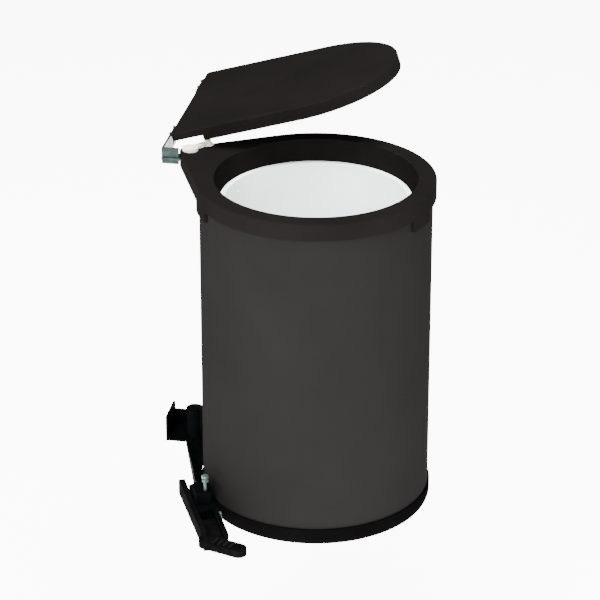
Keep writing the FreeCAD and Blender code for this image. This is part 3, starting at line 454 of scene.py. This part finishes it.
# %% Lay the weld down the back
def bent_strip(name, radius, angle, half_width, low, high, proud, across=6, along=48):
    """A shallow bead on a round wall, highest along its middle."""
    mesh = bmesh.new()
    rows = []
    for j in range(along + 1):
        height = low + (high - low) * j / along
        row = []
        for i in range(across + 1):
            side = 2 * i / across - 1
            turn = angle + side * half_width / radius
            ripple = 1 + 0.25 * math.sin(j * 2.1) * (1 - side * side)
            reach = radius + 0.02 * MM + proud * (1 - side * side) * ripple
            row.append(mesh.verts.new((
                bin_axis.x + reach * math.cos(turn), bin_axis.y + reach * math.sin(turn), height,
            )))
        rows.append(row)
    for row, above in zip(rows, rows[1:]):
        for i in range(across):
            mesh.faces.new((row[i], row[i + 1], above[i + 1], above[i]))
    return as_piece(name, mesh, 60)


base_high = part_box("base_cup")[1][2]
collar_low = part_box("collar")[0][2]
weld = bent_strip(
    "casing_weld", casing_radius, to_hinge - math.radians(95), 1.6 * MM,
    base_high + 1 * MM, collar_low - 1 * MM, 0.22 * MM,
)
cover(weld, charcoal)
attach(weld, "bin")
print(f"weld {(collar_low - base_high) / MM:.0f} mm long, less a millimetre at each end")

# %% [markdown]
# ## The bucket
# The bucket lifts out of the casing. It is injection-moulded: the wall tapers so that it leaves the tool,
# the rim turns outward to hang on the collar's ledge, and the floor has a raised ring and a gate mark in the
# middle. All of that is one closed half-section, swept on the lathe.

# %% Mould the bucket
bucket_low, bucket_high = (Vector(corner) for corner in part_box("inner_bucket"))
rim_radius = (bucket_high.x - bucket_low.x) / 2
rim_height = 3.2 * MM
wall_radius = rim_radius - 4.6 * MM
foot_radius = wall_radius - 10 * MM
skin = 1.6 * MM
floor_level = bucket_low.z + 4 * MM
inside_top = wall_radius - skin
inside_foot = foot_radius - skin
bucket_section = [
    (0.5 * MM, bucket_low.z + 2 * MM),
    (foot_radius - 12 * MM, bucket_low.z + 2 * MM),
    (foot_radius - 11.5 * MM, bucket_low.z),
    *arc((foot_radius - 4 * MM, bucket_low.z + 4 * MM), 4 * MM, -90, 0),
    (wall_radius, bucket_high.z - rim_height),
    (rim_radius, bucket_high.z - rim_height),
    *arc((rim_radius - 1.2 * MM, bucket_high.z - 1.2 * MM), 1.2 * MM, 0, 90),
    *arc((inside_top + 0.8 * MM, bucket_high.z - 0.8 * MM), 0.8 * MM, 90, 180),
    *arc((inside_foot - 5 * MM, floor_level + 5 * MM), 5 * MM, 0, -90),
    (inside_foot - 24 * MM, floor_level),
    (inside_foot - 25 * MM, floor_level + 0.8 * MM),
    (inside_foot - 28 * MM, floor_level + 0.8 * MM),
    (inside_foot - 29 * MM, floor_level),
    (4 * MM, floor_level),
    (3.2 * MM, floor_level + 0.4 * MM),
    (0.5 * MM, floor_level + 0.4 * MM),
]
bucket = lathe("bucket_wall", bucket_section, bin_axis)
cover(bucket, bucket_white)
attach(bucket, "bucket")
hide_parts("inner_bucket")
print(f"bucket {(bucket_high.z - bucket_low.z) / MM:.0f} mm deep, rim {2 * rim_radius / MM:.0f} mm across")

# %% [markdown]
# ## The base
# The base is a shallow black cup pushed over the casing's lower end. Its upper lip has a small round,
# its lower corner a large one, and a foot ring keeps the floor off the ground. It is turned as well.

# %% Turn the base cup
base_low, base_top = (Vector(corner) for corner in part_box("base_cup"))
base_radius = (base_top.x - base_low.x) / 2
corner = 11 * MM
lip = 0.8 * MM
foot_rise = 4 * MM
casing_seat = casing_radius + 0.05 * MM
base_section = [
    (0.5 * MM, base_low.z + foot_rise),
    (base_radius - corner - 14 * MM, base_low.z + foot_rise),
    *arc((base_radius - corner - 13 * MM, base_low.z + 1 * MM), 1 * MM, 180, 270, 4),
    *arc((base_radius - corner, base_low.z + corner), corner, -90, 0, 12),
    *arc((base_radius - lip, base_top.z - lip), lip, 0, 90),
    (casing_seat, base_top.z),
    (casing_seat, base_low.z + foot_rise + 3 * MM),
    (0.5 * MM, base_low.z + foot_rise + 3 * MM),
]
base = lathe("base_ring", base_section, bin_axis)
cover(base, base_plastic)
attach(base, "bin")
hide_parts("base_cup")
print(f"base {2 * base_radius / MM:.1f} mm across")

# %% [markdown]
# ## Nuts on the release rod
# The two nuts are pressed from hexagon bar, and a real nut has its corners turned off at about thirty
# degrees. That chamfer is a cone that meets the hexagon, so the corners dip most and the flats least. Here
# each ring of the nut takes the smaller of the hexagon's and the cone's radius.


# %% Chamfered nuts
def hexagon_radius(angle, across_flats):
    """Distance from the middle to the hexagon's edge in that direction."""
    sector = (angle + math.pi / 6) % (math.pi / 3) - math.pi / 6
    return across_flats / 2 / math.cos(sector)


def turned_nut(name, centre, across_flats, bore, low, high, turn, steps=72):
    """A nut whose corners are turned off at both faces."""
    mesh = bmesh.new()
    corner_radius = across_flats / 2 / math.cos(math.pi / 6)
    fall = (corner_radius - across_flats / 2 * 0.97) * math.tan(math.radians(30))
    levels = [(low, 0.97), (low + fall, 2), (high - fall, 2), (high, 0.97)]
    rings = []
    for height, limit in levels:
        ring = []
        for step in range(steps):
            angle = 2 * math.pi * step / steps
            radius = min(hexagon_radius(angle, across_flats), across_flats / 2 * limit)
            ring.append(mesh.verts.new((
                centre.x + radius * math.cos(angle + turn),
                centre.y + radius * math.sin(angle + turn),
                height,
            )))
        rings.append(ring)
    for height in (high, low):
        rings.append([
            mesh.verts.new((
                centre.x + bore * math.cos(2 * math.pi * step / steps + turn),
                centre.y + bore * math.sin(2 * math.pi * step / steps + turn),
                height,
            ))
            for step in range(steps)
        ])
    for ring, following in zip(rings, rings[1:] + rings[:1]):
        for step in range(steps):
            after = (step + 1) % steps
            mesh.faces.new((ring[step], ring[after], following[after], following[step]))
    bmesh.ops.recalc_face_normals(mesh, faces=mesh.faces)
    return as_piece(name, mesh, 25)


nuts_low, nuts_high = (Vector(corner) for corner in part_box("rod_nuts"))
rod_axis = (nuts_low + nuts_high) / 2
nut_height = 3.6 * MM
nut_across = 7.0 * MM
rod_bore = 1.8 * MM
lower_nut = turned_nut(
    "lower_nut", rod_axis, nut_across, rod_bore, nuts_low.z, nuts_low.z + nut_height, math.radians(12)
)
upper_nut = turned_nut(
    "upper_nut", rod_axis, nut_across, rod_bore, nuts_high.z - nut_height, nuts_high.z, math.radians(31)
)
for piece in (lower_nut, upper_nut):
    cover(piece, zinc)
    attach(piece, "rod")
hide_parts("rod_nuts")
print("two nuts", nut_across / MM, "mm across flats")

# %% [markdown]
# ## Thread, spring and domed heads
# The rod's thread shows between its nuts. A thread is a ridge wound round the rod, so it is made as one
# fine helical wire laid in the surface, with the pitch of the real thread. The return spring under it is
# the same kind of helix, made into a mesh. The rivets that hold the lower arm get a low domed head, built
# as rings round its own axis and then laid against the saddle.


# %% Wind the thread
def helix_wire(name, centre, radius, thickness, low, high, pitch, turn_steps=20):
    """A fine wire wound upward round an upright line."""
    curve = bpy.data.curves.new(name, "CURVE")
    curve.dimensions = "3D"
    curve.bevel_depth = thickness
    curve.bevel_resolution = 2
    count = int((high - low) / pitch * turn_steps)
    line = curve.splines.new("POLY")
    line.points.add(count)
    for step in range(count + 1):
        angle = 2 * math.pi * step / turn_steps
        height = low + (high - low) * step / count
        line.points[step].co = (
            centre.x + radius * math.cos(angle), centre.y + radius * math.sin(angle), height, 1,
        )
    piece = bpy.data.objects.new(name, curve)
    bpy.context.scene.collection.objects.link(piece)
    return piece


rod_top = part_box("release_rod")[1][2]
thread_pitch = 0.7 * MM
thread_ridge = 0.16 * MM
thread_below_nuts = 9 * MM
thread = helix_wire(
    "rod_thread", rod_axis, rod_bore - 0.12 * MM, thread_ridge,
    nuts_low.z - thread_below_nuts, rod_top - 0.3 * MM, thread_pitch,
)
cover(thread, zinc)
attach(thread, "rod")
print(f"thread of {thread_pitch / MM:.1f} mm pitch")


# %% Coil the return spring
coil_low, coil_high = (Vector(corner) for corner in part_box("return_spring"))
coil_wire = 0.6 * MM
coil_radius = 3.3 * MM
coil_turns = 5
coil_rise = coil_high.z - coil_low.z
coil_line = helix_wire(
    "coil_line", rod_axis, coil_radius, coil_wire, coil_low.z + coil_wire, coil_high.z - coil_wire,
    (coil_rise - 2 * coil_wire) / coil_turns,
)
coil = bpy.data.objects.new("return_coil", bpy.data.meshes.new_from_object(coil_line))
bpy.data.objects.remove(coil_line)
bpy.context.scene.collection.objects.link(coil)
cover(coil, zinc)
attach(coil, "rod")
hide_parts("return_spring")
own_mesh(coil)
print(f"spring of {coil_turns} turns, {coil_rise / MM:.1f} mm high")


# %% Dome the rivets
def dome(name, place, outward, radius, height, steps=32):
    """A low round head that stands on a surface at place and faces outward."""
    rise = [(0.0, height), *[
        (radius * math.sin(a), height * math.cos(a))
        for a in (math.radians(15 * k) for k in range(1, 6))
    ], (radius, 0.1 * height), (radius * 0.97, -0.2 * height), (0.0, -0.2 * height)]
    mesh = bmesh.new()
    rings = []
    for reach, level in rise:
        rings.append([
            mesh.verts.new((
                max(reach, 0.02 * radius) * math.cos(2 * math.pi * k / steps),
                max(reach, 0.02 * radius) * math.sin(2 * math.pi * k / steps),
                level,
            ))
            for k in range(steps)
        ])
    for ring, following in zip(rings, rings[1:]):
        for k in range(steps):
            after = (k + 1) % steps
            mesh.faces.new((ring[k], ring[after], following[after], following[k]))
    mesh.faces.new(rings[0])
    mesh.faces.new(rings[-1])
    bmesh.ops.recalc_face_normals(mesh, faces=mesh.faces)
    turn = UP.rotation_difference(outward).to_matrix().to_4x4()
    mesh.transform(Matrix.Translation(place) @ turn)
    return as_piece(name, mesh, 50)


saddle_sheet = 2.5 * MM
saddle_out = casing_radius + saddle_sheet
rivet_turn = math.radians(10)
rivet_low, rivet_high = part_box("saddle_rivets")
rivet_head = 3.4 * MM
rivet_rise = 1.6 * MM
head_heights = (rivet_low[2] + rivet_head, rivet_high[2] - rivet_head)
for count, (side, height) in enumerate(
    (side, height) for side in (-1, 1) for height in head_heights
):
    angle = to_hinge + side * rivet_turn
    outward = Vector((math.cos(angle), math.sin(angle), 0))
    place = Vector((bin_axis.x, bin_axis.y, height)) + outward * saddle_out
    head = dome(f"rivet_head_{count}", place, outward, rivet_head, rivet_rise)
    cover(head, zinc)
    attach(head, "bin")
    if count == 0:
        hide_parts("saddle_rivets")
print("four rivet heads at", [round(height / MM) for height in head_heights])

# %% [markdown]
# ## The hub's cap
# The upper swing pin ends inside the lifting finger's hub. The hub is closed by a low domed cap, which is
# turned like the rivet heads.

# %% Cap the hub
collar_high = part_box("collar")[1][2]
finger_thick = 3.4 * MM
cap_radius = 4.2 * MM
cap_rise = 1.2 * MM
hub_top = Vector((swing_axis.x, swing_axis.y, collar_high + finger_thick))
hub_cap = dome("hub_cap", hub_top, UP, cap_radius, cap_rise)
cover(hub_cap, nylon)
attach(hub_cap, "bin")
print("cap on the finger's hub at", [round(value / MM, 1) for value in hub_top])

# %% [markdown]
# ## The room
# The bin hangs on its wall brackets, so the floor is well below it. The floor glows, which keeps it pale
# and lights the bin from all round with hardly a shadow. One soft light stands in front and to the
# left, so that the casing is brightest just left of its middle. A broader one above it fills the
# mouth, and a pale sky does the rest.

# %% Lay the floor
floor_drop = 0.30
floor_reach = 14.0
floor_glow = 8.0
floor_mesh = bmesh.new()
bmesh.ops.create_grid(floor_mesh, x_segments=2, y_segments=2, size=floor_reach)
floor = as_piece("studio_floor", floor_mesh)
floor.location = (bin_axis.x, bin_axis.y, cad_box[0][2] - floor_drop)
floor_finish = new_finish("floor_paper", (0.93, 0.93, 0.93), 0.9, specular=0.1)
mottle(floor_finish, (0.925, 0.925, 0.925), (0.935, 0.935, 0.935), 0.5)
floor_shader = floor_finish.node_tree.nodes["Principled BSDF"]
floor_shader.inputs["Emission Color"].default_value = (1, 1, 1, 1)
floor_shader.inputs["Emission Strength"].default_value = floor_glow
cover(floor, floor_finish)
print(f"floor {floor_drop:.2f} m under the bin")


# %% Hang the lights
def soft_light(name, place, aim, size, power):
    """A square area light at place that faces aim."""
    data = bpy.data.lights.new(name, "AREA")
    data.shape = "RECTANGLE"
    data.size = size[0]
    data.size_y = size[1]
    data.energy = power
    light = bpy.data.objects.new(name, data)
    light.location = place
    light.rotation_euler = (aim - place).to_track_quat("-Z", "Y").to_euler()
    bpy.context.scene.collection.objects.link(light)
    return light


middle = Vector((bin_axis.x, bin_axis.y, (cad_box[0][2] + cad_box[1][2]) / 2))
LIGHTS = {
    "key": (Vector((-0.55, -2.4, 1.5)), (0.9, 1.6), 200),
    "top": (Vector((0.1, -0.2, 2.4)), (1.6, 1.6), 260),
}
for name, (offset, size, power) in LIGHTS.items():
    soft_light(name, middle + offset, middle, size, power)
    print(f"{name} light of {power} W, {offset.length:.1f} m away")

# %% Light the sky
sky_strength = 0.6
world = bpy.data.worlds.new("studio")
world.use_nodes = True
sky = world.node_tree.nodes["Background"]
sky.inputs["Color"].default_value = (1, 1, 1, 1)
sky.inputs["Strength"].default_value = sky_strength
bpy.context.scene.world = world
print("sky strength", sky_strength)

# %% [markdown]
# ## The camera
# The bin is seen from a little to the right of square on, and from well above, through a long lens, so
# that its upright sides stay nearly parallel. The camera is placed by its direction and its distance
# from a point inside the bin, a little towards the hinge from its axis.

# %% Place the camera
camera_azimuth = math.radians(10.2)
camera_elevation = math.radians(24.9)
camera_distance = 3.244
aim_above_base = 0.2449
aim_towards_hinge = 0.0178
sideways = Vector((math.cos(camera_azimuth), math.sin(camera_azimuth), 0))
aim = Vector((bin_axis.x, bin_axis.y, base_low.z + aim_above_base)) - sideways * aim_towards_hinge
away = Vector((
    math.sin(camera_azimuth) * math.cos(camera_elevation),
    -math.cos(camera_azimuth) * math.cos(camera_elevation),
    math.sin(camera_elevation),
))
camera_data = bpy.data.cameras.new("camera")
camera_data.sensor_width = 36
camera_data.lens = 172.4
camera = bpy.data.objects.new("camera", camera_data)
camera.location = aim + away * camera_distance
camera.rotation_euler = (-away).to_track_quat("-Z", "Y").to_euler()
bpy.context.scene.collection.objects.link(camera)
bpy.context.scene.camera = camera
print("camera at", [round(value, 3) for value in camera.location])
